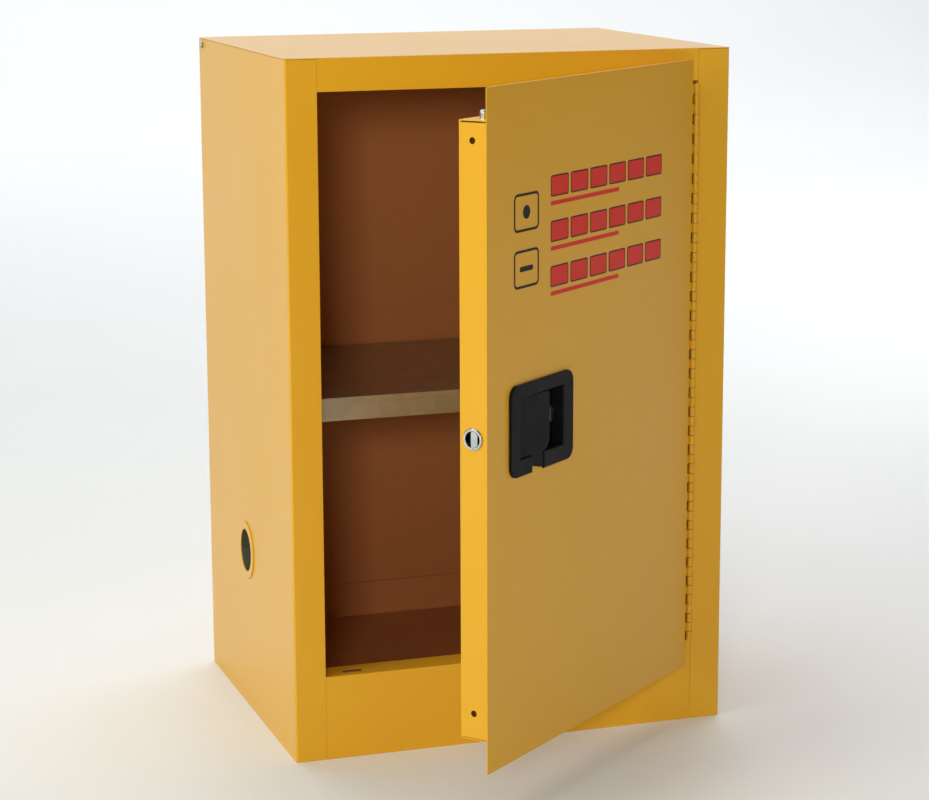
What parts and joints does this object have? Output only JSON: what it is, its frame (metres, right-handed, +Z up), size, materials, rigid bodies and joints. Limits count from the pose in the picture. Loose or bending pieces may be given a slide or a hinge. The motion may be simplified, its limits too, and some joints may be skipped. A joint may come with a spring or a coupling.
{
  "type": "flammable storage cabinet",
  "caption": "Double-walled steel safety cabinet with one hinged door, three-point latch with paddle and key lock, loose shelf, spill sump and side vents.",
  "frame": {"origin": "centre of the carcass's underside, on the floor, midway between its sides and between its front and back", "axes": "+Z up, -Y out of the front of the cabinet, +X to the right seen from the front"},
  "size_m": [0.5896, 0.7832, 0.889],
  "materials": {
    "yellow_paint": "semi-gloss powder coat",
    "liner_paint": "semi-gloss powder coat",
    "galvanised": "galvanised, dull spangle",
    "zinc_plate": "bright zinc plate",
    "chrome": "polished",
    "black_plastic": "fine moulded texture",
    "spring_steel": "oiled wire",
    "arrester_mesh": "dark woven wire",
    "label_red": "printed film",
    "label_black": "printed film"
  },
  "bodies": {
    "cabinet": {"left_side_panel": "yellow_paint", "right_side_panel": "yellow_paint", "top_panel": "yellow_paint", "front_sill": "yellow_paint", "outer_back_panel": "yellow_paint", "outer_bottom_panel": "yellow_paint", "inner_left_wall": "liner_paint", "inner_right_wall": "liner_paint", "inner_back_wall": "liner_paint", "inner_top_panel": "liner_paint", "sump_tray": "liner_paint", "left_wall_spacer": "zinc_plate", "right_wall_spacer": "zinc_plate", "back_wall_spacer": "zinc_plate", "vent_fitting_left": "yellow_paint", "flame_arrester_left": "arrester_mesh", "vent_ring_nut_left": "zinc_plate", "vent_fitting_right": "yellow_paint", "flame_arrester_right": "arrester_mesh", "vent_ring_nut_right": "zinc_plate", "ground_screw": "zinc_plate", "ground_screw_nut": "zinc_plate", "hinge_frame_leaf": "yellow_paint", "hinge_pin": "zinc_plate", "shelf_standard_left_front": "zinc_plate", "shelf_standard_left_rear": "zinc_plate", "shelf_standard_right_front": "zinc_plate", "shelf_standard_right_rear": "zinc_plate", "shelf_clip_left_front": "zinc_plate", "shelf_clip_left_rear": "zinc_plate", "shelf_clip_right_front": "zinc_plate", "shelf_clip_right_rear": "zinc_plate"},
    "shelf": {"shelf": "galvanised"},
    "door": {"hinge_door_leaf": "yellow_paint", "door_skin": "yellow_paint", "door_pan": "yellow_paint", "handle_dish": "black_plastic", "handle_stud_1": "zinc_plate", "handle_stud_2": "zinc_plate", "handle_stud_3": "zinc_plate", "handle_stud_4": "zinc_plate", "paddle_pin": "zinc_plate", "lock_housing": "chrome", "lock_nut": "zinc_plate", "bolt_housing": "chrome", "bolt_housing_nut": "zinc_plate", "cam_stud": "zinc_plate", "cam_spring": "spring_steel", "rod_guide_top": "zinc_plate", "rod_guide_bottom": "zinc_plate"},
    "paddle": {"paddle": "black_plastic"},
    "latch_cam": {"latch_cam": "zinc_plate"},
    "latch_bolt": {"latch_bolt": "chrome"},
    "top_rod": {"top_rod": "zinc_plate"},
    "bottom_rod": {"bottom_rod": "zinc_plate"},
    "lock_plug": {"lock_plug": "chrome", "lock_tongue": "zinc_plate"}
  },
  "joints": [
    {"name": "door_hinge", "type": "hinge", "parent": "cabinet", "child": "door", "pos_m": [0.246, -0.2321, 0], "axis": [0, 0, 1], "range_deg": [-39.4, 140.6]},
    {"name": "shelf_lift", "type": "slide", "parent": "cabinet", "child": "shelf", "axis": [0, 0, 1], "range_m": [0, 0.03]},
    {"name": "paddle_pull", "type": "hinge", "parent": "door", "child": "paddle", "pos_m": [-0.09338, -0.50505, 0.4775], "axis": [0, 0, -1], "range_deg": [-10, 10], "stiffness_Nm_per_rad": 2},
    {"name": "cam_turn", "type": "hinge", "parent": "door", "child": "latch_cam", "pos_m": [-0.11568, -0.48972, 0.4965], "axis": [-0.6347, 0.7727, 0], "range_deg": [-24, 24]},
    {"name": "bolt_slide", "type": "slide", "parent": "door", "child": "latch_bolt", "axis": [-0.7727, -0.6347, 0], "range_m": [-0.0101, 0.0101]},
    {"name": "top_rod_slide", "type": "slide", "parent": "door", "child": "top_rod", "axis": [0, 0, 1], "range_m": [-0.0101, 0.0101]},
    {"name": "bottom_rod_slide", "type": "slide", "parent": "door", "child": "bottom_rod", "axis": [0, 0, -1], "range_m": [-0.0101, 0.0101]},
    {"name": "lock_turn", "type": "hinge", "parent": "door", "child": "lock_plug", "pos_m": [-0.0437, -0.43965, 0.4797], "axis": [0.6347, -0.7727, 0], "range_deg": [0, 90]}
  ],
  "couplings": [
    {"joint": "cam_turn", "follows": "paddle_pull", "ratio": -2.3873},
    {"joint": "bolt_slide", "follows": "paddle_pull", "m_per_rad": -0.057296},
    {"joint": "top_rod_slide", "follows": "paddle_pull", "m_per_rad": -0.057296},
    {"joint": "bottom_rod_slide", "follows": "paddle_pull", "m_per_rad": -0.057296}
  ]
}
